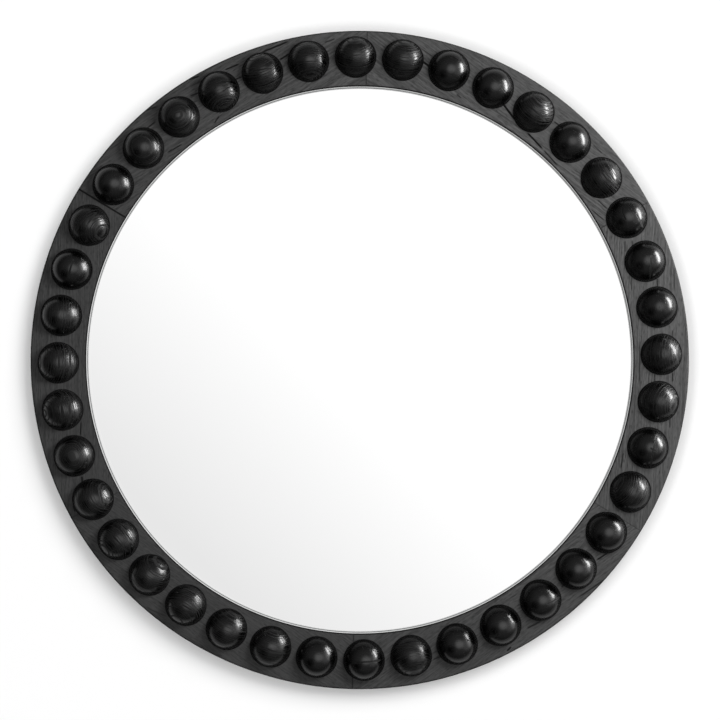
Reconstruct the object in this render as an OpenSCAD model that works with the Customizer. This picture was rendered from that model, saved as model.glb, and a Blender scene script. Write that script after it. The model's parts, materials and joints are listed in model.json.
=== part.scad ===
// Round wall mirror in a jointed wooden ring, set with a circle of turned half-balls.
// The mirror is modelled lying on its back and stood up at the end: the disc is upright,
// its front looks along -Y, +Z is up, and the origin is the centre of the back panel's rear face.
// Turns are clockwise from the top as seen from the front, in degrees. All sizes are in millimetres.

/* [Ring] */
// Outside diameter of the wooden ring
ring_d = 914; // [800:1:1100]
// Width of the ring's front face, from the outer edge to the opening
ring_w = 77.5; // [74:0.5:95]
// Number of solid wood segments the ring is jointed from
segment_count = 6; // [4:1:7]
// Turn of the first joint between segments
joint_turn = 1.3; // [0:0.1:3]
// Radius of the rounded front outer edge
front_edge_r = 2; // [1:0.5:4]
// Radius of the rounded back outer edge
back_edge_r = 1.5; // [0.5:0.5:3]
// Radius of the rounded edge round the opening
opening_edge_r = 0.8; // [0.4:0.2:2]

/* [Rebate] */
// Depth of the opening's wall in front of the glass
lip_t = 17; // [14:0.5:24]
// Width of wood in front of the glass's edge
glass_lap = 8.5; // [6:0.5:12]
// Clearance between the glass's edge and the wood
glass_gap = 1.5; // [1:0.1:3]
// Width of the ledge that the back panel is screwed to
ledge_w = 11; // [10:0.5:14]
// Clearance between the panel's edge and the wood
panel_gap = 0.5; // [0.3:0.1:1.5]

/* [Glass and back] */
// Thickness of the mirror glass
glass_t = 4; // [3:0.5:6]
// Width of the ground bevel along the glass's edge
glass_arris = 0.6; // [0.3:0.1:1]
// Thickness of the felt sheet between the glass and the panel
felt_t = 3; // [2:0.5:5]
// Thickness of the back panel
panel_t = 6; // [4:0.5:9]
// Number of screws round the back panel
panel_screw_count = 12; // [8:1:18]
// How deep a panel screw reaches into the ring
panel_screw_bite = 10; // [8:0.5:13]
// Length of each setting block that the glass stands on
block_l = 30; // [20:1:50]
// Turn of the setting blocks from the bottom, to both sides
block_turn = 15; // [8:1:30]

/* [Half-balls] */
// Number of half-balls round the ring
ball_count = 40; // [30:1:41]
// Diameter of a half-ball
ball_d = 57; // [45:0.5:60]
// Turn of the first half-ball
ball_turn = -0.8; // [-2:0.1:0]
// How far the circle of half-balls sits above the ring's own centre
ball_lift = 2; // [0:0.5:3]
// How deep a ball screw reaches into its half-ball
ball_screw_bite = 15; // [10:0.5:20]

/* [Dowels] */
// Diameter of a dowel across a joint between segments
dowel_d = 8; // [6:0.5:9]
// Length of a dowel
dowel_l = 40; // [30:1:50]
// Distance between the two dowels of one joint
dowel_spacing = 36; // [32:1:42]
// Depth of the dowels behind the ring's front face
dowel_depth = 13; // [11:0.5:14]
// Clearance all round a dowel in its hole
dowel_gap = 0.05; // [0.05:0.05:0.2]
// Clearance beyond each end of a dowel
dowel_end_gap = 1; // [0.5:0.5:3]

/* [Screws] */
// Shank diameter of a ball screw
ball_screw_d = 4; // [3:0.5:5]
// Head diameter of a ball screw
ball_head_d = 8; // [7:0.5:9]
// Shank diameter of a panel or hanger screw
small_screw_d = 3; // [2.5:0.5:3.5]
// Head diameter of a panel or hanger screw
small_head_d = 6; // [5.5:0.5:7]
// Depth of the hole all round a screw beyond the screw itself
screw_gap = 0.1; // [0.05:0.05:0.2]
// Width of each slot of the cross in a screw head
cross_w = 1; // [0.8:0.1:1.2]
// Depth of the cross in a screw head
cross_depth = 1; // [0.6:0.1:1.2]

/* [Hangers] */
// Turn of the two hangers to both sides of the top
hanger_turn = 68; // [58:1:74]
// Width of the hanger's strap
strap_w = 13; // [11:0.5:15]
// Length of the strap from the ring's pivot to its lower end
strap_l = 36; // [32:1:40]
// Thickness of the strap
strap_t = 1.2; // [1:0.1:1.6]
// Diameter of the ring's wire
wire_d = 2.6; // [2.2:0.1:3]
// Clearance between the wire and the strap's loop
loop_gap = 0.1; // [0.05:0.05:0.2]
// Clear width inside the ring
ring_clear_w = 19; // [18:0.5:22]
// Length of the ring's straight arms
arm_l = 4; // [2:0.5:6]
// Centreline radius of the ring's two corners
ring_corner_r = 3; // [2.5:0.1:4]
// Distance from the pivot to the first strap screw
strap_screw_1 = 9.5; // [8:0.5:11]
// Distance from the pivot to the second strap screw
strap_screw_2 = 27; // [24:0.5:28]
// How deep a hanger screw reaches into the wood
hanger_screw_bite = 15; // [10:0.5:18]

/* [Bumpers] */
// Turn of the upper pair of bumpers
bumper_turn_top = 32; // [20:1:45]
// Turn of the lower pair of bumpers
bumper_turn_low = 140; // [120:1:160]
// Diameter of a bumper at the wood
bumper_d = 14; // [10:0.5:18]
// Diameter of a bumper's face at the wall
bumper_face_d = 10; // [6:0.5:12]
// Height of a bumper, which keeps the hangers off the wall
bumper_h = 6.5; // [5.5:0.5:10]

/* [Hidden] */
$fn = 96;
two_digits = [for (i = [1:ball_count]) str(i < 10 ? "0" : "", i)];

// Ring
ring_r = ring_d / 2;
opening_r = ring_r - ring_w;
ring_t = lip_t + glass_t + felt_t + panel_t;
segment_angle = 360 / segment_count;

// Glass and back panel
glass_r = opening_r + glass_lap;
rebate_r = glass_r + glass_gap;
recess_r = rebate_r + ledge_w;
panel_r = recess_r - panel_gap;
glass_back = felt_t + panel_t;
panel_screw_r = rebate_r + ledge_w / 2;
panel_screw_pitch = 360 / panel_screw_count;

// Half-balls
ball_r = ball_d / 2;
ball_circle_r = ring_r - ring_w / 2;
ball_pitch = 360 / ball_count;

// Wood screws: the length of the point, and the cross as a share of the head's width
point_l = 3;
cross_share = 0.62;

// Cuts: how far one runs past the faces that it goes through, how far the two parts of a countersunk
// hole overlap, and how many degrees beyond a segment's end a hole's middle may lie and still cut it
fit_l = 1;
overlap = 0.001;
reach_margin = 4;

// Hangers and bumpers stand on the land between the back panel and the outer edge,
// each in the middle of a gap between two ball screws
land_r = (recess_r + ring_r) / 2;
wire_r = wire_d / 2;
loop_r = wire_r + loop_gap + strap_t;
bow_r = ring_clear_w / 2 + wire_r;
hanger_at = gap_turn(hanger_turn);
hanger_x = land_r * sin(hanger_at);
hanger_y = land_r * cos(hanger_at) + strap_l / 2;

// The turn of the gap between ball screws that a wanted turn falls in
function gap_turn(turn) = (floor(turn / ball_pitch) + 0.5) * ball_pitch;
// The place of a half-ball on the ring's face
function ball_x(i) = ball_circle_r * sin(ball_turn + i * ball_pitch);
function ball_y(i) = ball_circle_r * cos(ball_turn + i * ball_pitch) + ball_lift;
// How far a turn is from the middle of a segment, either way
function off_middle(turn, i) = let (off = abs(turn - middle(i)) % 360) min(off, 360 - off);
function middle(i) = joint_turn + (i - 0.5) * segment_angle;
// Whether a hole at a turn can reach segment i
function reaches(turn, i) = off_middle(turn, i) < segment_angle / 2 + reach_margin;

// Stands the model up from lying on its back
module upright() {
    rotate([90, 0, 0]) children();
}

// Turns clockwise from the top and moves out from the centre
module at_turn(turn, r) {
    rotate([0, 0, -turn]) translate([0, r, 0]) children();
}

// A countersunk wood screw that stands on its head at z = 0, with its point up.
// The countersink is as deep as the head's rim is wide.
module wood_screw(shank_d, head_d, length, cross = true) {
    head_h = (head_d - shank_d) / 2;
    difference() {
        union() {
            cylinder(h = head_h, d1 = head_d, d2 = shank_d);
            cylinder(h = length - point_l, d = shank_d);
            translate([0, 0, length - point_l]) cylinder(h = point_l, d1 = shank_d, d2 = shank_d / 4);
        }
        if (cross) cross_recess(head_d);
    }
}

// The cross that the screwdriver turns
module cross_recess(head_d) {
    for (turn = [0, 90])
        rotate([0, 0, turn + 45])
            translate([-head_d * cross_share / 2, -cross_w / 2, -fit_l])
                cube([head_d * cross_share, cross_w, fit_l + cross_depth]);
}

// The hole that a wood screw fits in, open below its head
module screw_hole(shank_d, head_d, length) {
    head_h = (head_d - shank_d) / 2;
    translate([0, 0, -fit_l]) cylinder(h = length + 2 * fit_l, d = shank_d + 2 * screw_gap);
    cylinder(h = head_h, d1 = head_d + 2 * screw_gap, d2 = shank_d + 2 * screw_gap);
    translate([0, 0, -fit_l]) cylinder(h = fit_l + overlap, d = head_d + 2 * screw_gap);
}

// What rounding takes off a square corner whose body lies towards +x +y
module corner_cut(r) {
    difference() {
        translate([-fit_l, -fit_l]) square(r + fit_l);
        translate([r, r]) circle(r);
    }
}

// The ring's section: x is the distance from the centre, y the height over the back
module ring_section() {
    difference() {
        translate([opening_r, 0]) square([ring_w, ring_t]);
        translate([opening_r, ring_t]) mirror([0, 1]) corner_cut(opening_edge_r);
        translate([ring_r, ring_t]) rotate(180) corner_cut(front_edge_r);
        translate([ring_r, 0]) mirror([1, 0]) corner_cut(back_edge_r);
        translate([opening_r - fit_l, -fit_l])
            square([rebate_r - opening_r + fit_l, ring_t - lip_t + fit_l]);
        translate([opening_r - fit_l, -fit_l])
            square([recess_r - opening_r + fit_l, panel_t + fit_l]);
    }
}

// The two dowels across joint i, or the holes that they fit in
module joint_dowels(i, gap = 0, end_gap = 0) {
    for (side = [-1, 1])
        at_turn(joint_turn + i * segment_angle, ball_circle_r + side * dowel_spacing / 2)
            translate([0, 0, ring_t - dowel_depth])
                rotate([0, 90, 0])
                    cylinder(h = dowel_l + 2 * end_gap, d = dowel_d + 2 * gap, center = true);
}

// One curved segment of the ring, with the holes that fall in it
module ring_segment(i) {
    color([0.17, 0.17, 0.17]) upright() difference() {
        rotate([0, 0, 90 - joint_turn - i * segment_angle])
            rotate_extrude(angle = segment_angle, $fn = 360) ring_section();
        for (j = [i - 1, i]) joint_dowels(j, dowel_gap, dowel_end_gap);
        for (k = [0:ball_count - 1])
            if (reaches(ball_turn + k * ball_pitch, i))
                translate([ball_x(k), ball_y(k), 0])
                    screw_hole(ball_screw_d, ball_head_d, ring_t);
        for (k = [0:panel_screw_count - 1])
            if (reaches((k + 0.5) * panel_screw_pitch, i))
                at_turn((k + 0.5) * panel_screw_pitch, panel_screw_r)
                    cylinder(h = panel_t + panel_screw_bite + fit_l, d = small_screw_d + 2 * screw_gap);
        for (side = [-1, 1])
            if (reaches(side * hanger_at, i)) hanger_holes(side);
    }
}

// The holes in the wood for one hanger's two screws
module hanger_holes(side) {
    for (drop = [strap_screw_1, strap_screw_2])
        translate([side * hanger_x, hanger_y - drop, -strap_t])
            screw_hole(small_screw_d, small_head_d, strap_t + hanger_screw_bite);
}

// One turned half-ball, flat on the ring's face, with the pilot hole of its screw
module half_ball(i) {
    color([0.1, 0.1, 0.1]) upright() translate([ball_x(i - 1), ball_y(i - 1), ring_t]) difference() {
        rotate_extrude() intersection() {
            circle(ball_r);
            square(ball_r);
        }
        translate([0, 0, -fit_l])
            cylinder(h = ball_screw_bite + 2 * fit_l, d = ball_screw_d + 2 * screw_gap);
    }
}

module segment_dowels() {
    color([0.8, 0.66, 0.46]) upright() for (i = [1:segment_count]) joint_dowels(i);
}

// One screw through the ring into each half-ball
module ball_screws() {
    color([0.72, 0.66, 0.45]) upright() for (i = [0:ball_count - 1])
        translate([ball_x(i), ball_y(i), 0])
            wood_screw(ball_screw_d, ball_head_d, ring_t + ball_screw_bite);
}

// The silvered glass disc, with its ground edge
module mirror_glass() {
    color([0.86, 0.9, 0.92]) upright() translate([0, 0, glass_back]) rotate_extrude($fn = 360)
        polygon([[0, 0], [glass_r - glass_arris, 0], [glass_r, glass_arris],
                 [glass_r, glass_t - glass_arris], [glass_r - glass_arris, glass_t], [0, glass_t]]);
}

// The two rubber blocks that carry the glass at the bottom of its rebate
module setting_blocks() {
    block_angle = block_l / rebate_r * 180 / PI;
    color([0.2, 0.2, 0.2]) upright() translate([0, 0, glass_back]) for (side = [-1, 1])
        rotate([0, 0, -90 + side * block_turn - block_angle / 2])
            rotate_extrude(angle = block_angle, $fn = 360)
                translate([glass_r, 0]) square([glass_gap, glass_t]);
}

// The soft sheet that the panel presses against the back of the glass
module felt_sheet() {
    color([0.75, 0.75, 0.72]) upright() translate([0, 0, panel_t])
        cylinder(h = felt_t, r = glass_r, $fn = 360);
}

// The back panel, flush with the back of the ring
module back_panel() {
    color([0.55, 0.42, 0.3]) upright() difference() {
        cylinder(h = panel_t, r = panel_r, $fn = 360);
        for (k = [0:panel_screw_count - 1])
            at_turn((k + 0.5) * panel_screw_pitch, panel_screw_r)
                screw_hole(small_screw_d, small_head_d, panel_t);
    }
}

module panel_screws() {
    color([0.72, 0.66, 0.45]) upright() for (k = [0:panel_screw_count - 1])
        at_turn((k + 0.5) * panel_screw_pitch, panel_screw_r)
            wood_screw(small_screw_d, small_head_d, panel_t + panel_screw_bite);
}

// A steel strap folded round the ring's straight side, with two screw holes.
// Its strip lies on the wood and curls over the wire at the pivot.
module hanger_strap(side) {
    color([0.78, 0.79, 0.8]) upright() translate([side * hanger_x, hanger_y, 0]) difference() {
        union() {
            translate([-strap_w / 2, -strap_l + strap_w / 2, -strap_t])
                cube([strap_w, strap_l - strap_w / 2, strap_t]);
            translate([0, -strap_l + strap_w / 2, -strap_t]) cylinder(h = strap_t, d = strap_w);
            translate([-strap_w / 2, 0, -loop_r]) rotate([0, 90, 0]) cylinder(h = strap_w, r = loop_r);
        }
        translate([-strap_w / 2 - fit_l, 0, -loop_r]) rotate([0, 90, 0])
            cylinder(h = strap_w + 2 * fit_l, r = wire_r + loop_gap);
        for (drop = [strap_screw_1, strap_screw_2])
            translate([0, -drop, -strap_t]) screw_hole(small_screw_d, small_head_d, strap_t);
    }
}

// A quarter or half turn of round wire in the x-y plane
module wire_bend(r, angle) {
    rotate_extrude(angle = angle) translate([r, 0]) circle(wire_r, $fn = 48);
}

// A straight length of wire from the origin along +y
module wire_straight(length) {
    rotate([-90, 0, 0]) cylinder(h = length, r = wire_r, $fn = 48);
}

// The loose D-shaped ring, hanging down from its pivot over the strap
module d_ring(side) {
    bar_l = 2 * (bow_r - ring_corner_r);
    arm_low = -ring_corner_r - arm_l;
    color([0.82, 0.83, 0.84]) upright() translate([side * hanger_x, hanger_y, -loop_r]) {
        translate([-bar_l / 2, 0, 0]) rotate([0, 0, -90]) wire_straight(bar_l);
        for (end = [0, 1]) mirror([end, 0, 0]) {
            translate([bar_l / 2, -ring_corner_r, 0]) wire_bend(ring_corner_r, 90);
            translate([bow_r, arm_low, 0]) wire_straight(arm_l);
        }
        translate([0, arm_low, 0]) rotate([0, 0, 180]) wire_bend(bow_r, 180);
    }
}

module hanger_screws() {
    color([0.8, 0.8, 0.8]) upright() for (side = [-1, 1])
        for (drop = [strap_screw_1, strap_screw_2])
            translate([side * hanger_x, hanger_y - drop, -strap_t])
                wood_screw(small_screw_d, small_head_d, strap_t + hanger_screw_bite);
}

// Four rubber bumpers that meet the wall
module wall_bumpers() {
    color([0.12, 0.12, 0.12]) upright() for (turn = [bumper_turn_top, bumper_turn_low])
        for (side = [-1, 1])
            at_turn(side * gap_turn(turn), land_r) translate([0, 0, -bumper_h])
                cylinder(h = bumper_h, d1 = bumper_face_d, d2 = bumper_d);
}

for (i = [1:segment_count])
    ring_segment(i);
for (i = [1:ball_count])
    half_ball(i);
segment_dowels();
ball_screws();
mirror_glass();
setting_blocks();
felt_sheet();
back_panel();
panel_screws();
hanger_strap(-1);  // hanger_strap_left
hanger_strap(1);  // hanger_strap_right
d_ring(-1);  // d_ring_left
d_ring(1);  // d_ring_right
hanger_screws();
wall_bumpers();
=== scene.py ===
# Dresses the round mirror: black stained wood, silvered glass, plated fittings, wall, lamps and camera.
# Lengths are metres. The disc stands in the x-z plane and its front looks along -y.
import json
import math
import random

import bpy
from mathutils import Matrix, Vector

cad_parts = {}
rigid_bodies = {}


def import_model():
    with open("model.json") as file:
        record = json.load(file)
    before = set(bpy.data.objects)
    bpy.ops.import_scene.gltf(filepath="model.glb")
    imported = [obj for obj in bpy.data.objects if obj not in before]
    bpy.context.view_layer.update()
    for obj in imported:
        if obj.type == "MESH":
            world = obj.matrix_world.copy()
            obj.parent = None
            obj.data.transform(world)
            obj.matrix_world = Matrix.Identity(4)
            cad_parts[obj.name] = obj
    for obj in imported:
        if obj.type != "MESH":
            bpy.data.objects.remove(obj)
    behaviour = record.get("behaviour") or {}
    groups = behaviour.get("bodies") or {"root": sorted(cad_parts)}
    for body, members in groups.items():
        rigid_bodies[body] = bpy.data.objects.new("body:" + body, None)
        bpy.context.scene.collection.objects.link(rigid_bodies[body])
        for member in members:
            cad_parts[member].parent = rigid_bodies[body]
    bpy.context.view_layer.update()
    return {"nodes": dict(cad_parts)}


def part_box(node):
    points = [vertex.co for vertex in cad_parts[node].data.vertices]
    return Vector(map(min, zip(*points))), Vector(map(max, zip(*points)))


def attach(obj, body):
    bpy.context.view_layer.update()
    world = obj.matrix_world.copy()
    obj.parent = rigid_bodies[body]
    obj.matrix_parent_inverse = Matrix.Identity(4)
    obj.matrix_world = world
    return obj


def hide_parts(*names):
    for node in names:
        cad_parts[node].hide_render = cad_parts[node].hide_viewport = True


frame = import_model()
nodes = frame["nodes"]
mm = 0.001
print("frame loaded:", len(nodes), "nodes")


def linearColour(hexCode, alpha=1.0):
    # a written sRGB colour, turned to the linear values that the shader wants
    parts = [int(hexCode[i:i + 2], 16) / 255 for i in (1, 3, 5)]
    return (*[c / 12.92 if c <= 0.04045 else ((c + 0.055) / 1.055) ** 2.4 for c in parts], alpha)


def addNode(tree, kind, settings=None, inputs=None):
    # a node with its settings, and its sockets either set or linked
    node = tree.nodes.new(kind)
    for name, value in (settings or {}).items():
        setattr(node, name, value)
    for name, value in (inputs or {}).items():
        if isinstance(value, bpy.types.NodeSocket):
            tree.links.new(value, node.inputs[name])
        else:
            node.inputs[name].default_value = value
    return node


def newMaterial(name):
    # a material with its tree and its shader
    material = bpy.data.materials.new(name)
    material.use_nodes = True
    tree = material.node_tree
    return material, tree, tree.nodes["Principled BSDF"]


def dress(nodeName, material):
    # the CAD node keeps its mesh and gets this finish
    nodes[nodeName].data.materials.clear()
    nodes[nodeName].data.materials.append(material)


def onlyThis(obj):
    # leaves one object selected
    bpy.ops.object.select_all(action="DESELECT")
    obj.select_set(True)
    bpy.context.view_layer.objects.active = obj


# Sizes of the ring and of the circle of half-balls, read from the frame
ringNodes = sorted(name for name in nodes if name.startswith("ring_segment_"))
ballNodes = sorted(name for name in nodes if name.startswith("half_ball_"))
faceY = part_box(ringNodes[0])[0].y
ballCentres = [sum(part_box(name), start=Vector()) / 2 for name in ballNodes]
ballRadius = (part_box(ballNodes[0])[1].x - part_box(ballNodes[0])[0].x) / 2
circleCentre = sum(ballCentres, start=Vector()) / len(ballCentres)
firstBall = ballCentres[0] - circleCentre
circleRadius = math.hypot(firstBall.x, firstBall.z)
firstTurn = math.atan2(firstBall.x, firstBall.z)
ballPitch = math.tau / len(ballNodes)
segmentTurn = 360 / len(ringNodes)

ring = {
    "firstJoint": 1.3,  # degrees clockwise from the top to the first joint
    "outerRadius": 457 * mm, "openingRadius": 379.5 * mm,
    "innerArrisShade": (1.8 * mm, 1.0), "outerArrisShade": (1.4 * mm, 0.8),  # painted shade along the arrises: width, strength
    "foot": (0.8 * mm, 1.0),  # painted contact shade round each half-ball's foot: width, strength
    "grainTilt": [5, 1, -7, 3, 0, -4],  # degrees between each segment's grain and its chord
    "pithHeight": [0.31, 0.50, 0.30, 0.52, 0.49, 0.32],  # where the growth rings are centred
    "pithDepth": [0.06, 0.08, 0.05, 0.07, 0.09, 0.06],
    "plankStep": 1.7,  # each segment is cut from another stretch of wood, this far on
    "markStrength": 1.4,  # how much darker every check on the face is than its own figure below
    "markWidth": (0.8 * mm, 1.2 * mm),  # a faint line's width, and what full strength adds to it
    "jointLine": [0.4, 0.4, 0.3, 0.45, 0.3, 0.8],  # how dark the glue line at each joint shows
    "jointReach": 0.1,  # how far a glue line is drawn past both edges, as a share of their radius
    "faceMarksEnd": (2 * mm, 5 * mm),  # depths behind the face where its own marks fade out
    "innerWall": (0.17, 0.4 * mm),  # roughness of the opening's wall, and how far out it reaches
}

# Black stained wood under satin lacquer. The stain leaves the latewood a shade lighter, the pores
# stay dark, and the lacquer sinks into the grain, so highlights break into streaks.
ringWood = {
    "dark": "#181818", "light": "#333333", "pore": "#000000",
    "ringSpacing": 2.2 * mm, "detail": 3.0, "lineEdge": (0.40, 0.60),
    "darkLine": (0.67, 0.75, 0.5),  # from and to which growth a thin dark line shows, and how dark
    "lineWander": 3 * mm,
    "fibreWidth": 0.8 * mm,  # real fibres are finer; drawn as coarse as it needs to show
    "poreWidth": 1.1 * mm, "poreShare": (0.50, 0.80), "poreDepth": 0.4,
    "blotch": 45 * mm,
    "shares": (0.18, 0.70, 0.12),  # of growth lines, fibres and blotches in the grain
    "tone": (0.30, 0.70),
    "slant": (0.03, 0.15, 0.85),  # painted shade: from and to how slanted a look the stain is drawn darker, and by how much
    "roughness": (0.44, 0.60), "markRoughness": 0.95, "specular": 0.5,
    "bump": 0.035 * mm, "markDepth": 5,  # a mark is cut this many times deeper than the grain
}
ballWood = {
    "dark": "#000000", "light": "#020202", "pore": "#000000",
    "ringSpacing": 1.9 * mm, "detail": 1.0, "lineEdge": (0.35, 0.65),
    "darkLine": (0.50, 0.60, 1.0),
    "lineWander": 1.5 * mm,
    "fibreWidth": 1.3 * mm,
    "poreWidth": 1.2 * mm, "poreShare": (0.66, 0.80), "poreDepth": 0.4,
    "blotch": 20 * mm,
    "shares": (0.70, 0.22, 0.08),
    "tone": (0.25, 0.75),
    "roughness": (0.18, 0.25), "markRoughness": 0.9, "specular": 0.5,
    "bump": 0.02 * mm, "markDepth": 3,
}
# Both woods: what the lengths along the fibres are multiplied by, so that the figure is drawn out
drawnOut = {"wander": 0.3, "pores": 0.16, "fibres": 0.06}
# A fine line: the share of its width that is full, and of its length before it fades at the ends
fineLine = {"core": 0.3, "body": 0.7}


def lineMask(tree, where, width):
    # 1 on a fine line: x runs from -1 to 1 along it, z is the distance from it in metres
    parts = addNode(tree, "ShaderNodeSeparateXYZ", None, {0: where})
    away = addNode(tree, "ShaderNodeMath", {"operation": "ABSOLUTE"}, {0: parts.outputs["Z"]})
    onLine = addNode(tree, "ShaderNodeMapRange", {"interpolation_type": "SMOOTHSTEP"},
                     {"Value": away.outputs[0], "From Min": fineLine["core"] * width,
                      "From Max": width, "To Min": 1.0, "To Max": 0.0})
    along = addNode(tree, "ShaderNodeMath", {"operation": "ABSOLUTE"}, {0: parts.outputs["X"]})
    within = addNode(tree, "ShaderNodeMapRange", None,
                     {"Value": along.outputs[0], "From Min": fineLine["body"], "From Max": 1.0,
                      "To Min": 1.0, "To Max": 0.0})
    return addNode(tree, "ShaderNodeMath", {"operation": "MULTIPLY"},
                   {0: onLine.outputs[0], 1: within.outputs[0]}).outputs[0]


def fromMiddle(tree, where):
    # how far each point is from the middle of the mirror, seen from the front
    flat = addNode(tree, "ShaderNodeVectorMath", {"operation": "MULTIPLY"}, {0: where, 1: (1, 0, 1)})
    away = addNode(tree, "ShaderNodeVectorMath", {"operation": "LENGTH"}, {0: flat.outputs[0]})
    return away.outputs["Value"]


def strongest(tree, masks):
    # the darkest of several marks at each point
    top = masks[0]
    for mask in masks[1:]:
        top = addNode(tree, "ShaderNodeMath", {"operation": "MAXIMUM"},
                      {0: top, 1: mask}).outputs[0]
    return top


def ebonisedWood(name, look, woodPlace, marks):
    # solid wood: x runs along the fibres, and the growth rings go round the x axis
    material, tree, shader = newMaterial(name)
    place = woodPlace(tree)
    along = {}
    for part, amount in drawnOut.items():
        along[part] = addNode(tree, "ShaderNodeVectorMath", {"operation": "MULTIPLY"},
                              {0: place, 1: (amount, 1, 1)}).outputs[0]
    # the growth rings wander over lengths of four times their shift
    wander = addNode(tree, "ShaderNodeTexNoise", None,
                     {"Vector": along["wander"], "Scale": 1 / (4 * look["lineWander"]), "Detail": 2.0})
    across = addNode(tree, "ShaderNodeVectorMath", {"operation": "MULTIPLY"},
                     {0: place, 1: (0, 1, 1)})
    fromPith = addNode(tree, "ShaderNodeVectorMath", {"operation": "LENGTH"}, {0: across.outputs[0]})
    ringAt = addNode(tree, "ShaderNodeMath", {"operation": "MULTIPLY_ADD"},
                     {0: wander.outputs[0], 1: look["lineWander"], 2: fromPith.outputs["Value"]})
    growth = addNode(tree, "ShaderNodeTexNoise", {"noise_dimensions": "1D"},
                     {"W": ringAt.outputs[0], "Scale": 1 / look["ringSpacing"],
                      "Detail": look["detail"], "Roughness": 0.7})
    fibre = addNode(tree, "ShaderNodeTexNoise", None,
                    {"Vector": along["fibres"], "Scale": 1 / look["fibreWidth"],
                     "Detail": look["detail"], "Roughness": 0.6})
    pores = addNode(tree, "ShaderNodeTexNoise", None,
                    {"Vector": along["pores"], "Scale": 1 / look["poreWidth"], "Detail": 0.0})
    blotch = addNode(tree, "ShaderNodeTexNoise", None,
                     {"Vector": place, "Scale": 1 / look["blotch"], "Detail": 3.0})
    early, late = look["lineEdge"]
    lines = addNode(tree, "ShaderNodeMapRange", {"interpolation_type": "SMOOTHSTEP"},
                    {"Value": growth.outputs[0], "From Min": early, "From Max": late})
    lineShare, fibreShare, blotchShare = look["shares"]
    fibrePart = addNode(tree, "ShaderNodeMath", {"operation": "MULTIPLY"},
                        {0: fibre.outputs[0], 1: fibreShare})
    growthPart = addNode(tree, "ShaderNodeMath", {"operation": "MULTIPLY_ADD"},
                         {0: lines.outputs[0], 1: lineShare, 2: fibrePart.outputs[0]})
    grain = addNode(tree, "ShaderNodeMath", {"operation": "MULTIPLY_ADD"},
                    {0: blotch.outputs[0], 1: blotchShare, 2: growthPart.outputs[0]})
    low, high = look["tone"]
    tone = addNode(tree, "ShaderNodeMapRange", None,
                   {"Value": grain.outputs[0], "From Min": low, "From Max": high})
    few, many = look["poreShare"]
    pits = addNode(tree, "ShaderNodeMapRange", None,
                   {"Value": pores.outputs[0], "From Min": few, "From Max": many,
                    "To Max": look["poreDepth"]})
    early, late, strength = look["darkLine"]
    growthLines = addNode(tree, "ShaderNodeMapRange", {"interpolation_type": "SMOOTHSTEP"},
                          {"Value": growth.outputs[0], "From Min": early, "From Max": late,
                           "To Max": strength})
    # on the ring the marks also hold painted shade along its arrises and round the half-balls' feet
    darker = strongest(tree, [pits.outputs[0], *marks(tree, place, growthLines.outputs[0])])
    stain = addNode(tree, "ShaderNodeMix", {"data_type": "RGBA"},
                    {0: tone.outputs[0], 6: linearColour(look["dark"]), 7: linearColour(look["light"])})
    black = darker
    if "slant" in look:
        # painted shade: looked at from a slant, as by the half-balls beside it, the stain is drawn
        # darker, so the face shows dark in their reflections
        square, slanted, strength = look["slant"]
        aside = addNode(tree, "ShaderNodeLayerWeight", None, {"Blend": 0.5})
        slantShade = addNode(tree, "ShaderNodeMapRange", {"interpolation_type": "SMOOTHSTEP"},
                        {"Value": aside.outputs["Facing"], "From Min": square, "From Max": slanted,
                         "To Max": strength})
        black = strongest(tree, [slantShade.outputs[0], darker])
    colour = addNode(tree, "ShaderNodeMix", {"data_type": "RGBA"},
                     {0: black, 6: stain.outputs[2], 7: linearColour(look["pore"])})
    smooth, dull = look["roughness"]
    lacquer = addNode(tree, "ShaderNodeMapRange", None,
                      {"Value": grain.outputs[0], "From Min": low, "From Max": high,
                       "To Min": dull, "To Max": smooth})
    sheen = addNode(tree, "ShaderNodeMix", {"data_type": "FLOAT"},
                    {0: darker, 2: lacquer.outputs[0], 3: look["markRoughness"]})
    height = addNode(tree, "ShaderNodeMath", {"operation": "MULTIPLY_ADD"},
                     {0: darker, 1: -look["markDepth"], 2: grain.outputs[0]})
    bump = addNode(tree, "ShaderNodeBump", None,
                   {"Height": height.outputs[0], "Distance": look["bump"]})
    tree.links.new(colour.outputs[2], shader.inputs["Base Color"])
    tree.links.new(sheen.outputs[0], shader.inputs["Roughness"])
    tree.links.new(bump.outputs[0], shader.inputs["Normal"])
    shader.inputs["Specular IOR Level"].default_value = look["specular"]
    return material, tree, shader, sheen.outputs[0]


def segmentPlace(index):
    # the segment's own coordinates: x along its chord, with the pith behind the face
    turn = ring["firstJoint"] + segmentTurn * (index + 0.5) + ring["grainTilt"][index]
    start = (index * ring["plankStep"], -ring["pithDepth"][index], -ring["pithHeight"][index])

    def place(tree):
        where = addNode(tree, "ShaderNodeTexCoord")
        turned = addNode(tree, "ShaderNodeMapping", None,
                         {"Vector": where.outputs["Object"], "Location": start,
                          "Rotation": (0, -math.radians(turn), 0)})
        return turned.outputs[0]
    return place


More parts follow.
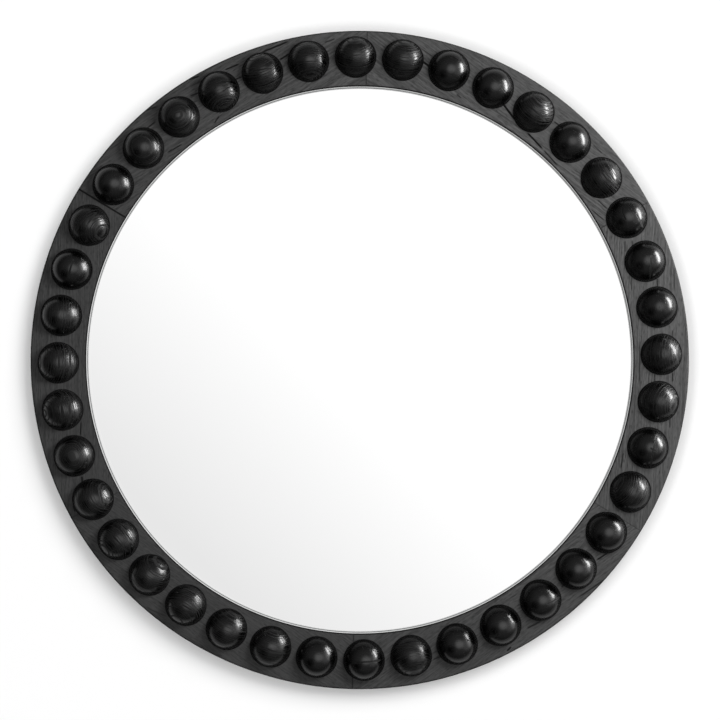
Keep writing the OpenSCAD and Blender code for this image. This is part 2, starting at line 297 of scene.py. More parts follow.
# Dark checks and lines on each segment's face: from x, z to x, z in mm, and how dark
ringMarks = {
    0: [(85.5, 415.2, 100.8, 404.6, 1.0), (84, 433, 102, 420, 0.35), (134, 369, 141, 363, 0.5),
        (198.5, 355.8, 216.0, 332.2, 1.0), (231, 317, 254.4, 292, 0.8), (254.4, 292, 275, 269, 0.6),
        (269, 331, 279, 324, 0.6), (323, 299, 337, 286, 0.5), (329, 223, 343, 210, 0.5),
        (320, 210, 340, 193, 0.45), (393, 180, 396, 166, 0.5)],
    1: [(368, 166, 368, 149, 0.5), (378, 167, 378, 149, 0.5), (413, 114, 413, 99, 0.6),
        (436, 129, 436, 94, 0.45), (377, 117, 377, 95, 0.4), (388, 30, 388, -37, 0.45),
        (434, 42, 434, 30, 0.5), (434, -17, 434, -31, 0.6), (409, -19, 409, -31, 0.5),
        (430, -78, 430, -95, 0.5), (366, -127, 362, -152, 0.5)],
    2: [(328, -278, 345, -267, 0.7), (301, -331, 354, -295, 0.6), (292, -349, 318, -330, 0.5),
        (279, -315, 293, -306, 0.6), (210, -398, 204, -404, 0.8), (231, -373, 252, -362, 0.6),
        (101, -416, 113, -411, 0.5)],
    3: [(-300, -342, -266, -357, 0.3), (-225, -400, -190, -412, 0.3)],
    4: [(-387, -85, -388, -106, 0.6), (-386, -161, -385, -171, 0.8), (-398, -202, -395, -211, 0.6)],
    5: [(-302, 344, -281, 352, 0.6), (-299, 319, -283, 331, 0.6), (-238, 389, -222, 394, 0.7),
        (-236, 366, -220, 372, 0.6), (-268, 287, -246, 300, 0.6), (-202, 328, -195, 339, 0.6),
        (-188, 402, -167, 411, 0.7), (-138, 426, -97, 443, 0.8), (-112, 416, -96, 426, 0.7),
        (-176, 388, -161, 394, 0.6), (-50, 440, -34, 446, 0.5), (-238, 378, -195, 400, 0.4)],
}


def ringLine(tree, where, x0, z0, x1, z1, strength):
    # a fine line on the face from one point to another in metres, wider where it is stronger
    line = addNode(tree, "ShaderNodeMapping", {"vector_type": "TEXTURE"},
                   {"Vector": where, "Rotation": (0, -math.atan2(z1 - z0, x1 - x0), 0),
                    "Location": ((x0 + x1) / 2, 0, (z0 + z1) / 2),
                    "Scale": (math.hypot(x1 - x0, z1 - z0) / 2, 1, 1)})
    faint, added = ring["markWidth"]
    mask = lineMask(tree, line.outputs[0], faint + added * strength)
    return addNode(tree, "ShaderNodeMath", {"operation": "MULTIPLY", "use_clamp": True},
                   {0: mask, 1: strength * ring["markStrength"]}).outputs[0]


def paintedFootShade(tree, where):
    # painted contact shade: a dark line on the face round the foot of each half-ball, found from the
    # turn round the circle of half-balls
    parts = addNode(tree, "ShaderNodeSeparateXYZ", None, {0: where})
    up = addNode(tree, "ShaderNodeMath", {"operation": "SUBTRACT"},
                 {0: parts.outputs["Z"], 1: circleCentre.z})
    turn = addNode(tree, "ShaderNodeMath", {"operation": "ARCTAN2"},
                   {0: parts.outputs["X"], 1: up.outputs[0]})
    steps = addNode(tree, "ShaderNodeMath", {"operation": "MULTIPLY_ADD"},
                    {0: turn.outputs[0], 1: 1 / ballPitch, 2: -firstTurn / ballPitch})
    aside = addNode(tree, "ShaderNodeMath", {"operation": "PINGPONG"}, {0: steps.outputs[0], 1: 0.5})
    sideways = addNode(tree, "ShaderNodeMath", {"operation": "MULTIPLY"},
                       {0: aside.outputs[0], 1: ballPitch * circleRadius})
    flat = addNode(tree, "ShaderNodeCombineXYZ", None, {0: parts.outputs["X"], 2: up.outputs[0]})
    out = addNode(tree, "ShaderNodeVectorMath", {"operation": "LENGTH"}, {0: flat.outputs[0]})
    beyond = addNode(tree, "ShaderNodeMath", {"operation": "SUBTRACT"},
                     {0: out.outputs["Value"], 1: circleRadius})
    offset = addNode(tree, "ShaderNodeCombineXYZ", None,
                     {0: sideways.outputs[0], 2: beyond.outputs[0]})
    away = addNode(tree, "ShaderNodeVectorMath", {"operation": "LENGTH"}, {0: offset.outputs[0]})
    width, strength = ring["foot"]
    return addNode(tree, "ShaderNodeMapRange", {"interpolation_type": "SMOOTHSTEP"},
                   {"Value": away.outputs["Value"], "From Min": ballRadius,
                    "From Max": ballRadius + width, "To Min": strength, "To Max": 0.0}).outputs[0]


def paintedArrisShade(tree, where, edge, side, width, strength):
    # painted shade along a softened corner of the ring, drawn as a dark line: the line
    # is full for half its width, then fades over its whole width, outwards or inwards by its side
    start = edge + side * width / 2
    return addNode(tree, "ShaderNodeMapRange", {"interpolation_type": "SMOOTHSTEP"},
                   {"Value": fromMiddle(tree, where), "From Min": start,
                    "From Max": start + side * width, "To Min": strength, "To Max": 0.0}).outputs[0]


def onFaceOnly(tree, where, mask):
    # keeps a mark to the front of the ring
    parts = addNode(tree, "ShaderNodeSeparateXYZ", None, {0: where})
    full, gone = ring["faceMarksEnd"]
    front = addNode(tree, "ShaderNodeMapRange", None,
                    {"Value": parts.outputs["Y"], "From Min": faceY + full, "From Max": faceY + gone,
                     "To Min": 1.0, "To Max": 0.0})
    return addNode(tree, "ShaderNodeMath", {"operation": "MULTIPLY"},
                   {0: mask, 1: front.outputs[0]}).outputs[0]


def segmentMarks(index):
    # the glue lines at both ends of the segment, its own checks, and painted shade along the arrises
    # and round the half-balls' feet
    inside = ring["openingRadius"] * (1 - ring["jointReach"])
    outside = ring["outerRadius"] * (1 + ring["jointReach"])

    def marks(tree, place, growthLines):
        where = addNode(tree, "ShaderNodeTexCoord").outputs["Object"]
        through = [growthLines,
                   paintedArrisShade(tree, where, ring["openingRadius"], 1, *ring["innerArrisShade"])]
        for end in (0, 1):
            turn = math.radians(ring["firstJoint"] + segmentTurn * (index + end))
            x, z = math.sin(turn), math.cos(turn)
            through.append(ringLine(tree, where, inside * x, inside * z, outside * x, outside * z,
                                    ring["jointLine"][(index + end) % len(ringNodes)]))
        onFace = [paintedFootShade(tree, where),
                  paintedArrisShade(tree, where, ring["outerRadius"], -1, *ring["outerArrisShade"])]
        for x0, z0, x1, z1, strength in ringMarks[index]:
            onFace.append(ringLine(tree, where, x0 * mm, z0 * mm, x1 * mm, z1 * mm, strength))
        return [*through, onFaceOnly(tree, where, strongest(tree, onFace))]
    return marks


def polishInnerWall(tree, shader, sheen):
    # the routed wall of the opening takes more lacquer, so it catches the light beside the glass
    where = addNode(tree, "ShaderNodeTexCoord")
    roughness, reach = ring["innerWall"]
    dull = addNode(tree, "ShaderNodeMapRange", None,
                   {"Value": fromMiddle(tree, where.outputs["Object"]),
                    "From Min": ring["openingRadius"], "From Max": ring["openingRadius"] + reach})
    mixed = addNode(tree, "ShaderNodeMix", {"data_type": "FLOAT"},
                    {0: dull.outputs[0], 2: roughness, 3: sheen})
    tree.links.new(mixed.outputs[0], shader.inputs["Roughness"])


for index, name in enumerate(ringNodes):
    wood, tree, shader, sheen = ebonisedWood(f"ebonisedRingWood{index + 1}", ringWood,
                                             segmentPlace(index), segmentMarks(index))
    polishInnerWall(tree, shader, sheen)
    dress(name, wood)
print("ring stained")

halfBall = {
    "segments": 96, "rings": 48,  # faces round the dome, and from pole to pole of the whole ball
    "sandedEdge": 0.5 * mm,  # the softened corner at the flat
    "sandedFoot": 1.0 * mm,  # how much narrower sanding leaves the dome where it meets the face
    "flatBand": 1e-6,  # points this close to the flat side belong to it
    "smoothUnder": 30,  # degrees between faces that are shaded as one
    "grainWander": 5,  # degrees that the grain strays from the ring's own direction
    "pithSide": (60 * mm, 130 * mm), "pithDepth": (5 * mm, 45 * mm),
    "plankStep": 0.7,  # each half-ball is cut from another stretch of wood, this far on
    "checkSlots": 3,  # the most checks that one half-ball can have
    "checkWidth": 1.7 * mm, "checkWobble": (7 * mm, 1.6 * mm),  # over which length, and how far
    "knotSize": 1.5 * mm, "knotEdge": (0.5, 1.2),  # from and to which share of the size it fades
    "plainFigure": 0.08,  # how clearly the growth lines show where ballFigure has no number
}

# What marks single half-balls, by their number: checks from x, z to x, z and knots at x, z, both in
# tenths of the radius
ballChecks = {
    4: [(3, 1, 6, -3)], 5: [(-5, 4, 6, -5)], 7: [(1, 5, 7, -3), (-1, 3, 4, -4)],
    8: [(4, 2, 8, -5), (-3, 4, -1, -2)], 9: [(2, 3, 2, -9)], 11: [(-1, 6, -1, -7)],
    13: [(1.8, 0, 1, -9), (0, 0.5, 4, -1.5), (0.8, -1.6, 3.8, 7)], 14: [(4, 7, 2, -1), (8, 3, 5, -2)],
    17: [(2, -1, 9, 2)], 18: [(-6, -5, 0, -3)], 20: [(-8, 5, 4, 7), (-5, -6, 8, -3)],
    21: [(-6, 0, 9, 1)], 23: [(-7, 2, 9, -3)], 25: [(-2, 2, 6, -3), (-8, 3, 2, -3)],
    27: [(-3, 4, 6, -6), (2, 7, 8, -1)], 28: [(4, 7, 6, -3)],
    30: [(-3.5, 6, -2.5, -6), (0.5, 8, 1.2, -5), (4.5, 7, 5, -3)],
    31: [(1.6, 7, 1.8, -4), (6.5, 6, 7, -3)],
    33: [(2, 5, -0.5, -5)], 34: [(4.5, 6, 0.5, 0), (-3, 3, -5, -3)],
    38: [(7, 2.5, 1.8, -1.5), (-8.6, -1, -4.5, 0.5)], 39: [(-6, 0, 6, 2)],
}
ballKnots = {8: (-2.7, 3.7), 13: (1.8, -0.5), 19: (5, 2.5), 38: (-2.8, -2.8)}
farOff = (100, 100)  # where the knot of a half-ball without one is put, out of sight
# where the growth rings close on the dome: depth of the pith in radii, in front where negative
ballRings = {29: -2.0, 36: 6.0, 37: -3.0}
# how clearly the growth lines show, where it is more than a little
ballFigure = {1: 0.7, 2: 0.9, 5: 0.8, 7: 0.9, 11: 0.5, 12: 0.6, 14: 0.6, 20: 0.5, 23: 0.5, 24: 0.5,
              25: 0.8, 26: 0.9, 27: 0.8, 28: 0.7, 29: 0.6, 30: 1.0, 31: 0.8, 32: 0.5, 34: 0.9,
              36: 0.6, 37: 0.8, 38: 0.7, 39: 0.8, 40: 1.0}


def modelHalfBall(radius, look):
    # a turned half-ball round the origin, its flat side at y = 0 and its dome towards -y
    bpy.ops.object.select_all(action="DESELECT")
    bpy.ops.mesh.primitive_uv_sphere_add(segments=look["segments"], ring_count=look["rings"],
                                         radius=radius, rotation=(math.radians(90), 0, 0))
    ball = bpy.context.object
    bpy.ops.object.transform_apply(location=False, rotation=True, scale=False)
    narrow = 1 - look["sandedFoot"] / radius
    ball.scale = (narrow, 1, narrow)
    bpy.ops.object.transform_apply(location=False, rotation=False, scale=True)
    bpy.ops.object.mode_set(mode="EDIT")
    bpy.ops.mesh.select_all(action="SELECT")
    bpy.ops.mesh.bisect(plane_co=(0, 0, 0), plane_no=(0, 1, 0), use_fill=True, clear_outer=True)
    bpy.ops.object.mode_set(mode="OBJECT")
    # the rim of the flat side is picked and softened
    for edge in ball.data.edges:
        edge.select = all(abs(ball.data.vertices[v].co.y) < look["flatBand"] for v in edge.vertices)
    bpy.ops.object.mode_set(mode="EDIT")
    bpy.ops.mesh.select_mode(type="EDGE")
    bpy.ops.mesh.bevel(offset=look["sandedEdge"], segments=2)
    bpy.ops.mesh.select_all(action="SELECT")
    bpy.ops.mesh.normals_make_consistent(inside=False)
    bpy.ops.object.mode_set(mode="OBJECT")
    bpy.ops.object.shade_smooth_by_angle(angle=math.radians(look["smoothUnder"]))
    return ball


def writeVector(piece, name, valueAt):
    # one vector for each point of the piece
    attribute = piece.data.attributes.new(name, "FLOAT_VECTOR", "POINT")
    values = [part for vertex in piece.data.vertices for part in valueAt(vertex.co)]
    attribute.data.foreach_set("vector", values)


def writeGrain(piece, number, centre, luck):
    # where each point lies in its plank, and how far it is from the checks and the knot
    stray = math.radians(luck.uniform(-1, 1) * halfBall["grainWander"])
    turn = firstTurn + (number - 1) * ballPitch + stray
    side = luck.choice((-1, 1)) * luck.uniform(*halfBall["pithSide"])
    depth = luck.uniform(*halfBall["pithDepth"])
    if number in ballRings:
        side, depth = 0, ballRings[number] * ballRadius
    shift = number * halfBall["plankStep"]
    cos, sin = math.cos(turn), math.sin(turn)

    def plank(point):
        x, y, z = point - centre
        return x * cos - z * sin + shift, y - depth, x * sin + z * cos - side

    writeVector(piece, "woodPlace", plank)
    lines = ballChecks.get(number, [])
    for slot in range(halfBall["checkSlots"]):
        if slot < len(lines):
            x0, z0, x1, z1 = [value / 10 * ballRadius for value in lines[slot]]
            long = math.hypot(x1 - x0, z1 - z0)
            way = ((x1 - x0) / long, (z1 - z0) / long)

            def check(point, x0=x0, z0=z0, long=long, way=way):
                x, z = point.x - centre.x - x0, point.z - centre.z - z0
                return (x * way[0] + z * way[1]) / long * 2 - 1, 0, z * way[0] - x * way[1]
        else:
            def check(point):
                return 0, 0, 1
        writeVector(piece, f"check{slot + 1}", check)
    right, up = ballKnots.get(number, farOff)
    knot = centre + Vector((right / 10 * ballRadius, 0, up / 10 * ballRadius))
    writeVector(piece, "knot", lambda point: (point.x - knot.x, 0, point.z - knot.z))
    clear = ballFigure.get(number, halfBall["plainFigure"])
    figure = piece.data.attributes.new("figure", "FLOAT", "POINT")
    figure.data.foreach_set("value", [clear] * len(piece.data.vertices))


def ownPlace(tree):
    # the half-ball's own coordinates, written on its mesh
    return addNode(tree, "ShaderNodeAttribute", {"attribute_name": "woodPlace"}).outputs["Vector"]


def ballMarks(tree, place, growthLines):
    # the half-ball's growth lines where they show, its checks and its knot
    length, far = halfBall["checkWobble"]
    wobble = addNode(tree, "ShaderNodeTexNoise", None,
                     {"Vector": place, "Scale": 1 / length, "Detail": 2.0})
    offset = addNode(tree, "ShaderNodeVectorMath", {"operation": "SCALE"},
                     {0: wobble.outputs["Color"], "Scale": far})
    figure = addNode(tree, "ShaderNodeAttribute", {"attribute_name": "figure"})
    masks = [addNode(tree, "ShaderNodeMath", {"operation": "MULTIPLY"},
                     {0: growthLines, 1: figure.outputs["Fac"]}).outputs[0]]
    for slot in range(halfBall["checkSlots"]):
        line = addNode(tree, "ShaderNodeAttribute", {"attribute_name": f"check{slot + 1}"})
        moved = addNode(tree, "ShaderNodeVectorMath", {"operation": "ADD"},
                        {0: line.outputs["Vector"], 1: offset.outputs[0]})
        masks.append(lineMask(tree, moved.outputs[0], halfBall["checkWidth"]))
    knot = addNode(tree, "ShaderNodeAttribute", {"attribute_name": "knot"})
    away = addNode(tree, "ShaderNodeVectorMath", {"operation": "LENGTH"}, {0: knot.outputs["Vector"]})
    heart, rim = [share * halfBall["knotSize"] for share in halfBall["knotEdge"]]
    masks.append(addNode(tree, "ShaderNodeMapRange", {"interpolation_type": "SMOOTHSTEP"},
                         {"Value": away.outputs["Value"], "From Min": heart, "From Max": rim,
                          "To Min": 1.0, "To Max": 0.0}).outputs[0])
    return masks


turnedWood = ebonisedWood("ebonisedTurnedWood", ballWood, ownPlace, ballMarks)[0]
luck = random.Random(40)
pattern = modelHalfBall(ballRadius, halfBall)
for index, name in enumerate(ballNodes):
    low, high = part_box(name)
    centre = (low + high) / 2
    centre.y = faceY
    ball = pattern if index == len(ballNodes) - 1 else pattern.copy()
    if ball != pattern:
        ball.data = pattern.data.copy()
        bpy.context.scene.collection.objects.link(ball)
    ball.name = "turnedHalfBall" + name[-2:]
    onlyThis(ball)
    ball.location = centre
    bpy.ops.object.transform_apply(location=True, rotation=False, scale=False)
    writeGrain(ball, index + 1, centre, luck)
    ball.data.materials.append(turnedWood)
    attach(ball, "mirror")
    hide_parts(name)
print("half-balls turned:", len(ballNodes))


# Silvered float glass: a neutral mirror, with a painted reflection of the lip as a thin dark line round
# the opening
silvering = {"tint": "#f7f7f7", "lipReflectionTint": "#6c6e6d", "lineWidth": 1.4 * mm}


def silveredGlass():
    # float glass silvered behind: it takes its look from what it mirrors, and from a painted reflection
    # of the lip at its edge
    material, tree, shader = newMaterial("silveredFloatGlass")
    where = addNode(tree, "ShaderNodeTexCoord")
    start = ring["openingRadius"] - silvering["lineWidth"]
    # painted reflection: the lip as the silver behind the glass mirrors it
    edge = addNode(tree, "ShaderNodeMapRange", {"interpolation_type": "SMOOTHSTEP"},
                   {"Value": fromMiddle(tree, where.outputs["Object"]), "From Min": start,
                    "From Max": ring["openingRadius"]})
    colour = addNode(tree, "ShaderNodeMix", {"data_type": "RGBA"},
                     {0: edge.outputs[0], 6: linearColour(silvering["tint"]),
                      7: linearColour(silvering["lipReflectionTint"])})
    tree.links.new(colour.outputs[2], shader.inputs["Base Color"])
    shader.inputs["Metallic"].default_value = 1.0
    shader.inputs["Roughness"].default_value = 0.0
    return material


dress("mirror_glass", silveredGlass())

# Hardboard: brown pressed fibres with scattered lighter and darker shives, smooth but not polished
hardboard = {"dark": "#7d5c3c", "light": "#a8845a", "fibre": 3 * mm, "shive": 9 * mm,
             "cloud": 120 * mm, "shares": (0.5, 0.35, 0.15), "tone": (0.38, 0.62),
             "roughness": 0.82, "bump": 0.05 * mm}


def pressedBoard():
    # three sizes of noise: fine fibres, coarse shives and the board's cloudy tone
    material, tree, shader = newMaterial("pressedHardboard")
    where = addNode(tree, "ShaderNodeTexCoord")
    fibre = addNode(tree, "ShaderNodeTexNoise", None,
                    {"Vector": where.outputs["Object"], "Scale": 1 / hardboard["fibre"], "Detail": 4.0,
                     "Roughness": 0.75})
    shive = addNode(tree, "ShaderNodeTexNoise", None,
                    {"Vector": where.outputs["Object"], "Scale": 1 / hardboard["shive"], "Detail": 3.0,
                     "Roughness": 0.8, "Distortion": 1.5})
    cloud = addNode(tree, "ShaderNodeTexNoise", None,
                    {"Vector": where.outputs["Object"], "Scale": 1 / hardboard["cloud"], "Detail": 2.0,
                     "Distortion": 1.0})
    fibreShare, shiveShare, cloudShare = hardboard["shares"]
    fine = addNode(tree, "ShaderNodeMath", {"operation": "MULTIPLY"},
                   {0: fibre.outputs[0], 1: fibreShare})
    middle = addNode(tree, "ShaderNodeMath", {"operation": "MULTIPLY_ADD"},
                     {0: shive.outputs[0], 1: shiveShare, 2: fine.outputs[0]})
    both = addNode(tree, "ShaderNodeMath", {"operation": "MULTIPLY_ADD"},
                   {0: cloud.outputs[0], 1: cloudShare, 2: middle.outputs[0]})
    low, high = hardboard["tone"]
    tone = addNode(tree, "ShaderNodeMapRange", None,
                   {"Value": both.outputs[0], "From Min": low, "From Max": high})
    colour = addNode(tree, "ShaderNodeMix", {"data_type": "RGBA"},
                     {0: tone.outputs[0], 6: linearColour(hardboard["dark"]),
                      7: linearColour(hardboard["light"])})
    bump = addNode(tree, "ShaderNodeBump", None,
                   {"Height": fibre.outputs[0], "Distance": hardboard["bump"]})
    tree.links.new(colour.outputs[2], shader.inputs["Base Color"])
    tree.links.new(bump.outputs[0], shader.inputs["Normal"])
    shader.inputs["Roughness"].default_value = hardboard["roughness"]
    return material


dress("back_panel", pressedBoard())

# Plated steel: zinc straps, yellow passivated screws and bright nickel wire
plating = {
    "zinc": {"dark": "#a9abae", "light": "#c9cbcd", "roughness": (0.28, 0.46), "speck": 1.2 * mm},
    "yellow": {"dark": "#a98e4d", "light": "#c9b474", "roughness": (0.30, 0.50), "speck": 0.8 * mm},
    "nickel": {"dark": "#b9b7b2", "light": "#d6d4cf", "roughness": (0.16, 0.28), "speck": 1.5 * mm},
}
speckSpread = (0.3, 0.7)  # the middle part of the specks' noise, which the gloss runs over


def platedSteel(name, look):
    # bare metal, its plating a little uneven in colour and gloss
    material, tree, shader = newMaterial(name)
    where = addNode(tree, "ShaderNodeTexCoord")
    speck = addNode(tree, "ShaderNodeTexNoise", None,
                    {"Vector": where.outputs["Object"], "Scale": 1 / look["speck"], "Detail": 4.0})
    colour = addNode(tree, "ShaderNodeMix", {"data_type": "RGBA"},
                     {0: speck.outputs[0], 6: linearColour(look["dark"]),
                      7: linearColour(look["light"])})
    smooth, dull = look["roughness"]
    low, high = speckSpread
    gloss = addNode(tree, "ShaderNodeMapRange", None,
                    {"Value": speck.outputs[0], "From Min": low, "From Max": high,
                     "To Min": smooth, "To Max": dull})
    tree.links.new(colour.outputs[2], shader.inputs["Base Color"])
    tree.links.new(gloss.outputs[0], shader.inputs["Roughness"])
    shader.inputs["Metallic"].default_value = 1.0
    return material


yellowZinc = platedSteel("yellowZincSteel", plating["yellow"])
brightZinc = platedSteel("brightZincSteel", plating["zinc"])
brightNickel = platedSteel("brightNickelWire", plating["nickel"])
for name in ("ball_screws", "panel_screws", "hanger_screws"):
    dress(name, yellowZinc)
for side in ("left", "right"):
    dress(f"hanger_strap_{side}", brightZinc)
    dress(f"d_ring_{side}", brightNickel)

# Moulded rubber, plain beech and pressed felt: matt, with a fine grain each of its own
plain = {
    "mouldedRubber": {"dark": "#101010", "light": "#1e1e1e", "grain": 0.8 * mm,
                      "roughness": 0.62, "bump": 0.03 * mm},
    "plainBeech": {"dark": "#b98f62", "light": "#d6b184", "grain": 1.5 * mm,
                   "roughness": 0.6, "bump": 0.05 * mm},
    "pressedFelt": {"dark": "#8f8e88", "light": "#b9b8b2", "grain": 1.0 * mm,
                    "roughness": 0.95, "bump": 0.2 * mm},
}


def plainSurface(name):
    # one fine noise gives both the colour and the relief
    look = plain[name]
    material, tree, shader = newMaterial(name)
    where = addNode(tree, "ShaderNodeTexCoord")
    grain = addNode(tree, "ShaderNodeTexNoise", None,
                    {"Vector": where.outputs["Object"], "Scale": 1 / look["grain"], "Detail": 5.0})
    colour = addNode(tree, "ShaderNodeMix", {"data_type": "RGBA"},
                     {0: grain.outputs[0], 6: linearColour(look["dark"]),
                      7: linearColour(look["light"])})
    bump = addNode(tree, "ShaderNodeBump", None,
                   {"Height": grain.outputs[0], "Distance": look["bump"]})
    tree.links.new(colour.outputs[2], shader.inputs["Base Color"])
    tree.links.new(bump.outputs[0], shader.inputs["Normal"])
    shader.inputs["Roughness"].default_value = look["roughness"]
    return material


rubber = plainSurface("mouldedRubber")
dress("wall_bumpers", rubber)
dress("setting_blocks", rubber)
dress("segment_dowels", plainSurface("plainBeech"))
dress("felt_sheet", plainSurface("pressedFelt"))
print("glass, back and fittings dressed")

# The wall stands at the bumpers' faces and is seen from the front only, and the floor lies below
studio = {
    # how pale the paints are, how strongly the panels light the wall, and how far the wall stands
    # behind the bumpers; the floor glows a little of itself
    "wall": 0.90, "wallLight": 1.08, "wallGap": 0.2 * mm,
    "floor": 0.86, "floorGlow": 0.5, "floorDrop": 0.75, "size": 12.0,
    # near the middle and far out: the distance from it, and how much of the wall the lacquer shows
    "wallInGloss": ((0.5, 0.6), (1.2, 0.25)),
    "cameraDistance": 3.5, "cameraRight": 0.3 * mm, "sensorWidth": 36,
    "frameWidth": 0.999,  # how much the picture spans at the ring's face
    # five panels light the wall from round the camera: how far right and up they reach for each metre
    # of distance, and their share of the wall's light
    "panelDistance": 20.0,
    "panels": [((0.25, 1.1), (0.25, 1.1), 0.29), ((-0.6, -0.3), (-0.4, 0.4), 0.22),
               ((-0.4, 0.4), (-0.6, -0.3), 0.17), ((-0.4, 0.4), (0.35, 0.75), 0.18),
               ((0.35, 0.75), (-0.4, 0.4), 0.17)],
    # the key lamp lights matt surfaces from the right front; the side lamp shows only in the
    # lacquer, as the bright spot on each half-ball; the back lamp lights the back
    "keyLamp": {"at": (0.55, -0.83, 0.26), "towards": (0.1, 0, 0.05), "size": (0.4, 0.4), "power": 28},
    "sideLamp": {"at": (1.75, -0.03, 0.63), "towards": (0, 0, 0), "size": (0.85, 1.2), "power": 72},
    "backLamp": {"at": (-1.2, 3.2, 1.4), "towards": (0, 0, 0), "size": (1.8, 1.8), "power": 120},
    "ambient": 0.07,  # what the room adds to matt surfaces
    # what the lacquer reflects: a dim room, wide and narrow glows beside the camera, two at the
    # right, and a darker patch at the lower left, each with its way, its level, and the cosines
    # of the angles at which it ends and is full
    "room": 0.07,
    "glows": [((0.24, -0.96, 0.13), 0.26, (-0.2, 0.85)), ((0.22, -0.97, 0.09), 1.55, (0.84, 1.005)),
              ((0.98, -0.08, 0.2), 2.2, (0.86, 1.0)), ((0.85, -0.52, 0.02), 0.6, (0.78, 0.97)),
              ((-0.56, -0.72, -0.41), -0.2, (0.86, 0.99))],
    # what the glass mirrors: white, and greyer towards its lower left
    "mirror": (1.10, 0.86), "mirrorWay": (-0.7, 0, -0.7), "mirrorSpread": (0.012, 0.099),
}


def paleSurface(name, shade, glow, inGloss=None):
    # white paint that is seen through from behind; the lacquer sees less of it, and least far out
    material, tree, shader = newMaterial(name)
    tree.nodes.remove(shader)
    level = shade
    if inGloss:
        (near, strong), (far, faint) = inGloss
        where = addNode(tree, "ShaderNodeTexCoord")
        away = addNode(tree, "ShaderNodeVectorMath", {"operation": "LENGTH"},
                       {0: where.outputs["Object"]})
        dimmed = addNode(tree, "ShaderNodeMapRange", None,
                         {"Value": away.outputs["Value"], "From Min": near, "From Max": far,
                          "To Min": strong * shade, "To Max": faint * shade})
        path = addNode(tree, "ShaderNodeLightPath")
        level = addNode(tree, "ShaderNodeMix", {"data_type": "FLOAT"},
                        {0: path.outputs["Is Glossy Ray"], 2: shade, 3: dimmed.outputs[0]}).outputs[0]
    white = addNode(tree, "ShaderNodeCombineColor", None, {0: level, 1: level, 2: level})
    paint = addNode(tree, "ShaderNodeBsdfDiffuse", None, {"Color": white.outputs[0]})
    light = addNode(tree, "ShaderNodeEmission", None, {"Strength": glow})
    both = addNode(tree, "ShaderNodeAddShader", None, {0: paint.outputs[0], 1: light.outputs[0]})
    clear = addNode(tree, "ShaderNodeBsdfTransparent")
    facing = addNode(tree, "ShaderNodeNewGeometry")
    shown = addNode(tree, "ShaderNodeMixShader", None,
                    {0: facing.outputs["Backfacing"], 1: both.outputs[0], 2: clear.outputs[0]})
    tree.links.new(shown.outputs[0], tree.nodes["Material Output"].inputs["Surface"])
    return material


def stagePlane(name, location, rotation, material):
    # a plane that is only looked at: it casts no shadow and throws no light back
    bpy.ops.object.select_all(action="DESELECT")
    bpy.ops.mesh.primitive_plane_add(size=studio["size"], location=location, rotation=rotation)
    plane = bpy.context.object
    plane.name = name
    plane.data.materials.append(material)
    plane.visible_shadow = False
    plane.visible_diffuse = False
    plane.visible_transmission = False
    return plane


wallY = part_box("wall_bumpers")[1].y + studio["wallGap"]
wall = stagePlane("wall", (0, wallY, 0), (math.radians(90), 0, 0),
                  paleSurface("wallPaint", studio["wall"], 0.0, studio["wallInGloss"]))
floor = stagePlane("floor", (0, 0, -studio["floorDrop"]), (0, 0, 0),
                   paleSurface("floorPaint", studio["floor"], studio["floorGlow"]))
floor.visible_glossy = False

backdrop = bpy.data.collections.new("backdrop")
pieces = bpy.data.collections.new("pieces")
for obj in bpy.context.scene.objects:
    if obj.type == "MESH":
        (backdrop if obj in (wall, floor) else pieces).objects.link(obj)


def areaLamp(name, look, lit, inGloss, onMatt=True):
    # a soft box that lights either the pieces or the backdrop, and may be kept out of gloss or matt
    data = bpy.data.lights.new(name, "AREA")
    data.shape = "RECTANGLE"
    data.size, data.size_y = look["size"]
    data.energy = look["power"]
    lamp = bpy.data.objects.new(name, data)
    bpy.context.scene.collection.objects.link(lamp)
    lamp.location = look["at"]
    way = Vector(look["towards"]) - lamp.location
    lamp.rotation_euler = way.to_track_quat("-Z", "Y").to_euler()
    lamp.visible_camera = False
    lamp.visible_glossy = inGloss
    lamp.visible_diffuse = onMatt
    lamp.light_linking.receiver_collection = lit
    return lamp


def wallPanel(name, right, up, share):
    # the power follows from the panel's share of the wall's light and from how slanted it shines
    away = studio["panelDistance"]
    x, z = sum(right) / 2, sum(up) / 2
    slant = 1 / (1 + x * x + z * z) ** 2
    areaLamp(name, {"at": (x * away, -away, z * away), "towards": (x * away, 0, z * away),
                    "size": ((right[1] - right[0]) * away, (up[1] - up[0]) * away),
                    "power": share * studio["wallLight"] * math.pi ** 2 * away ** 2 / slant},
             backdrop, inGloss=False)


for index, (right, up, share) in enumerate(studio["panels"]):
    wallPanel(f"wallPanel{index + 1}", right, up, share)
areaLamp("keyLamp", studio["keyLamp"], pieces, inGloss=False)
areaLamp("sideLamp", studio["sideLamp"], pieces, inGloss=True, onMatt=False)
areaLamp("backLamp", studio["backLamp"], pieces, inGloss=True)


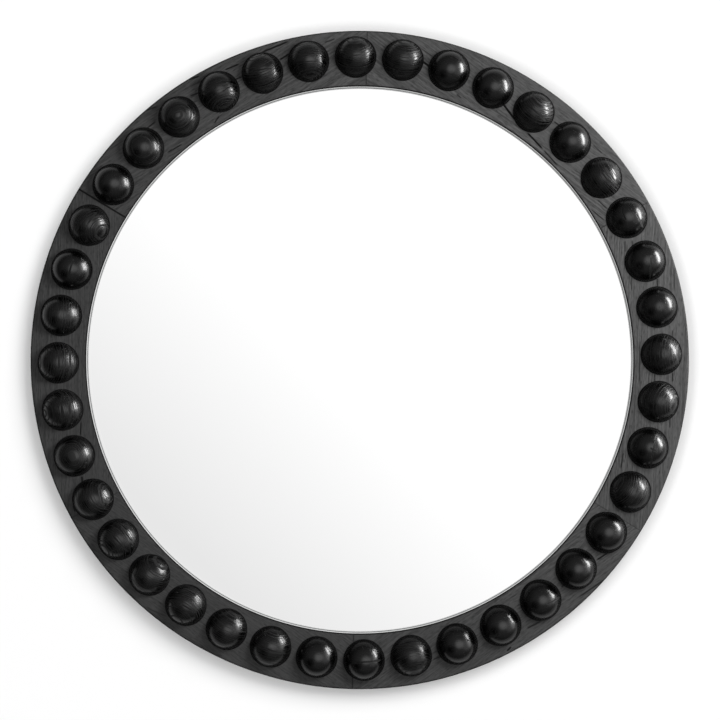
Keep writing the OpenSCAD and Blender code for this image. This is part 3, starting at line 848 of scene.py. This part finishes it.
def studioWorld():
    # white to the camera and in the mirror; a softer room, brightest behind the camera, in the lacquer
    world = bpy.data.worlds.new("studio")
    bpy.context.scene.world = world
    world.use_nodes = True
    world.cycles.sampling_method = "NONE"  # each kind of ray then sees its own level
    tree = world.node_tree
    path = addNode(tree, "ShaderNodeLightPath")
    where = addNode(tree, "ShaderNodeTexCoord")
    room = studio["room"]
    for way, level, (edge, middle) in studio["glows"]:
        towards = addNode(tree, "ShaderNodeVectorMath", {"operation": "DOT_PRODUCT"},
                          {0: where.outputs["Generated"], 1: way})
        glow = addNode(tree, "ShaderNodeMapRange", {"interpolation_type": "SMOOTHSTEP"},
                       {"Value": towards.outputs["Value"], "From Min": edge, "From Max": middle,
                        "To Max": level})
        room = addNode(tree, "ShaderNodeMath", None, {0: glow.outputs[0], 1: room}).outputs[0]
    corner = addNode(tree, "ShaderNodeVectorMath", {"operation": "DOT_PRODUCT"},
                     {0: where.outputs["Generated"], 1: studio["mirrorWay"]})
    white, grey = studio["mirror"]
    first, last = studio["mirrorSpread"]
    mirrored = addNode(tree, "ShaderNodeMapRange", None,
                       {"Value": corner.outputs["Value"], "From Min": first, "From Max": last,
                        "To Min": white, "To Max": grey})
    matt = addNode(tree, "ShaderNodeMix", {"data_type": "FLOAT"},
                   {0: path.outputs["Is Glossy Ray"], 2: studio["ambient"], 3: room})
    # only a sharp reflection, and only the first one, sees the mirrored levels
    straight = addNode(tree, "ShaderNodeMath", {"operation": "LESS_THAN"},
                       {0: path.outputs["Glossy Depth"], 1: 1.5})
    inGlass = addNode(tree, "ShaderNodeMath", {"operation": "MULTIPLY"},
                      {0: path.outputs["Is Singular Ray"], 1: straight.outputs[0]})
    sharp = addNode(tree, "ShaderNodeMix", {"data_type": "FLOAT"},
                    {0: inGlass.outputs[0], 2: matt.outputs[0], 3: mirrored.outputs[0]})
    strength = addNode(tree, "ShaderNodeMix", {"data_type": "FLOAT"},
                       {0: path.outputs["Is Camera Ray"], 2: sharp.outputs[0], 3: 1.0})
    tree.links.new(strength.outputs[0], tree.nodes["Background"].inputs["Strength"])
    tree.nodes["Background"].inputs["Color"].default_value = (1, 1, 1, 1)


studioWorld()

cameraData = bpy.data.cameras.new("camera")
cameraData.sensor_width = studio["sensorWidth"]
cameraData.lens = cameraData.sensor_width * studio["cameraDistance"] / studio["frameWidth"]
camera = bpy.data.objects.new("camera", cameraData)
bpy.context.scene.collection.objects.link(camera)
camera.location = (studio["cameraRight"], faceY - studio["cameraDistance"], 0)
camera.rotation_euler = (math.radians(90), 0, 0)
bpy.context.scene.camera = camera
bpy.context.scene.view_settings.view_transform = "Standard"
print("wall, lamps, world and camera set")
